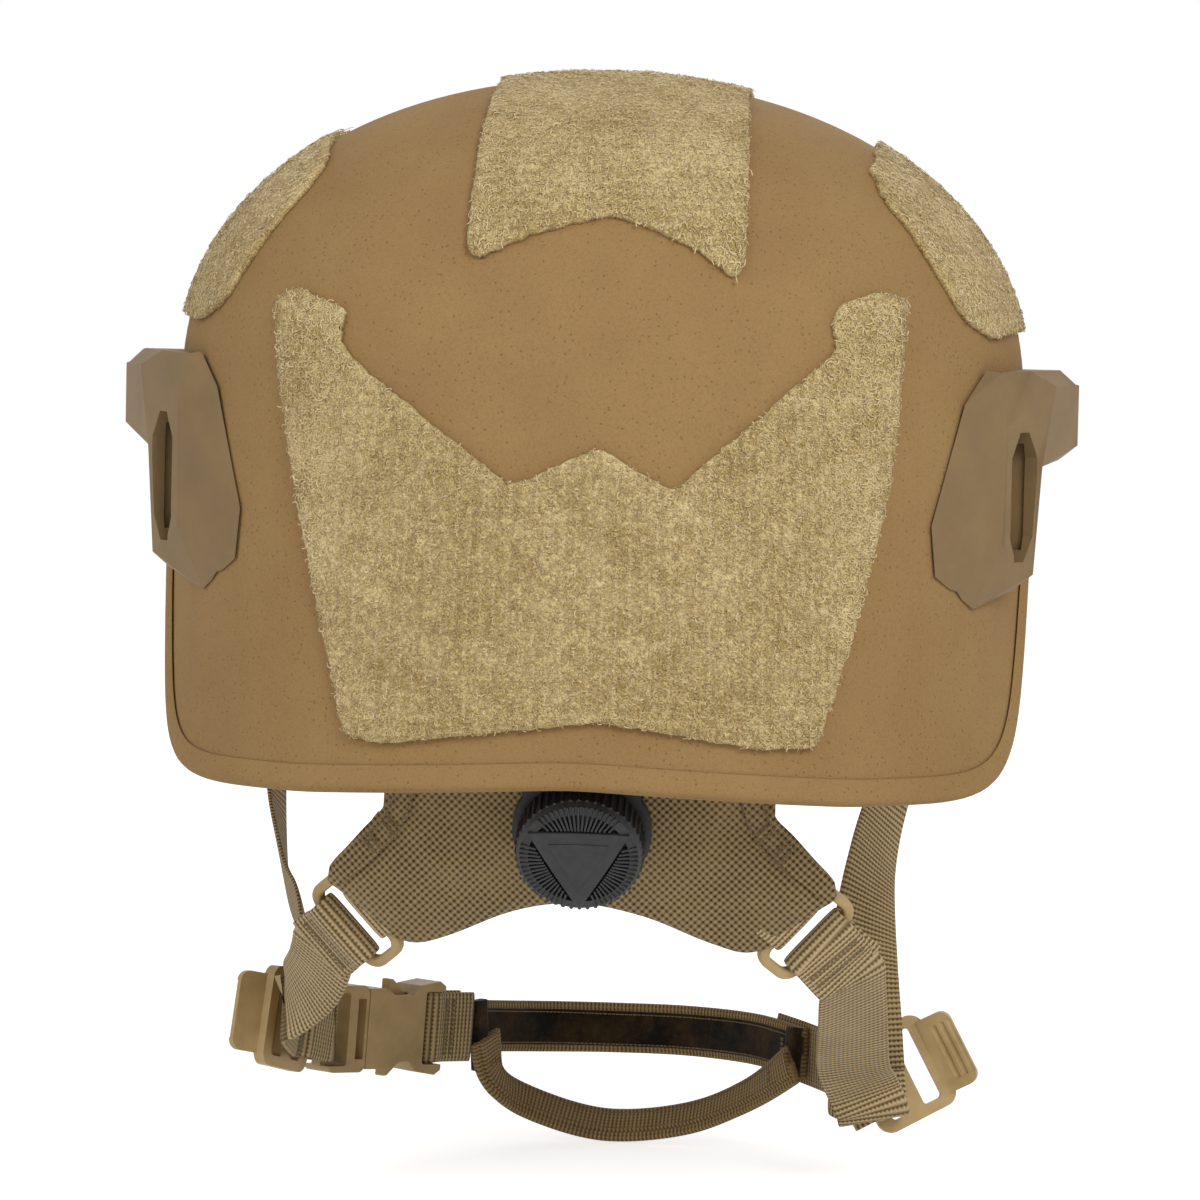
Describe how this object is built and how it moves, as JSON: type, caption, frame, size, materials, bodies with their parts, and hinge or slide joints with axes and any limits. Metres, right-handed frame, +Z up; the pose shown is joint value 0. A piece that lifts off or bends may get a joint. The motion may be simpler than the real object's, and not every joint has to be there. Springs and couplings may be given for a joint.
{
  "type": "combat helmet",
  "caption": "High-cut combat helmet with loop patches, side rails, front shroud, padded liner, nape pad with dial fit and a four-point chin strap.",
  "frame": {"origin": "centre of the head opening, on the level of the front rim, where the helmet sits on a head", "axes": "+X to the wearer's right, +Y to the wearer's front, +Z up"},
  "size_m": [0.2564, 0.2896, 0.3069],
  "materials": {
    "shell_coating": "grainy sprayed coating, matt tan",
    "trim": "matt moulded edge trim",
    "loop_pile": "loop pile, matt",
    "rail": "fine textured glass-filled nylon",
    "fastener": "blackened steel",
    "foam": "brushed knit over foam",
    "hook": "woven hook fastener",
    "cordura": "coarse woven nylon",
    "dial_black": "satin black plastic",
    "lace": "braided lace",
    "webbing": "woven webbing",
    "buckle": "satin moulded acetal",
    "cup_lining": "brushed suede",
    "cup_strap": "woven tape"
  },
  "bodies": {
    "helmet": {"shell": "shell_coating", "edge_trim": "trim", "rear_loop_patch": "loop_pile", "top_loop_patch": "loop_pile", "side_loop_patch_left": "loop_pile", "side_loop_patch_right": "loop_pile", "rail_left": "rail", "rail_right": "rail", "rail_screws": "fastener", "rail_nuts": "fastener", "front_shroud": "rail", "shroud_screws": "fastener", "shroud_nuts": "fastener", "crown_pad": "foam", "front_pad": "foam", "rear_pad": "foam", "side_pad_left": "foam", "side_pad_right": "foam", "liner_hooks": "hook", "nape_pad": "cordura", "dial_base": "dial_black", "lace_left": "lace", "lace_right": "lace", "lace_guides": "dial_black", "nape_ring_left": "buckle", "nape_ring_right": "buckle", "ring_tabs": "cordura", "rear_strap_left": "webbing", "rear_strap_right": "webbing", "front_strap_left": "webbing", "front_strap_right": "webbing", "adjuster_left": "buckle", "adjuster_right": "buckle"},
    "spool": {"lace_spool": "dial_black"},
    "hub": {"dial_hub": "fastener", "dial_screw": "fastener"},
    "knob": {"dial_knob": "dial_black", "dial_cap": "dial_black"},
    "chin_strap": {"side_strap_left": "webbing", "buckle_male": "buckle", "buckle_female": "buckle", "buckle_tab": "webbing", "chin_upper_band": "cup_lining", "chin_lower_band": "cup_strap", "side_strap_right": "webbing"},
    "prong_top": {"prong_upper": "buckle"},
    "prong_foot": {"prong_lower": "buckle"}
  },
  "joints": [
    {"name": "dial_pull", "type": "slide", "parent": "helmet", "child": "hub", "axis": [0, -0.8988, -0.4384], "range_m": [0, 0.0025]},
    {"name": "dial_turn", "type": "hinge", "parent": "hub", "child": "knob", "pos_m": [0.0016, -0.11193, -0.07463], "axis": [0, -0.8988, -0.4384], "continuous": true},
    {"name": "spool_turn", "type": "hinge", "parent": "helmet", "child": "spool", "pos_m": [0.0016, -0.11193, -0.07463], "axis": [0, -0.8988, -0.4384], "continuous": true},
    {"name": "chin_swing", "type": "hinge", "parent": "helmet", "child": "chin_strap", "pos_m": [-0.00189, -0.00218, -0.14996], "axis": [0.9943, 0.0505, -0.0939], "range_deg": [-15, 30], "deforming": ["side_strap_left", "side_strap_right"]},
    {"name": "prong_squeeze", "type": "hinge", "parent": "chin_strap", "child": "prong_top", "pos_m": [-0.06967, 0.0119, -0.13936], "axis": [-0.7828, 0.6222, 0], "range_deg": [0, 6], "stiffness_Nm_per_rad": 0.3},
    {"name": "prong_squeeze_foot", "type": "hinge", "parent": "chin_strap", "child": "prong_foot", "pos_m": [-0.0703, 0.0111, -0.15212], "axis": [0.7828, -0.6222, 0], "range_deg": [0, 6], "stiffness_Nm_per_rad": 0.3}
  ],
  "couplings": [
    {"joint": "spool_turn", "follows": "dial_turn", "ratio": 1},
    {"joint": "prong_squeeze_foot", "follows": "prong_squeeze", "ratio": 1}
  ]
}
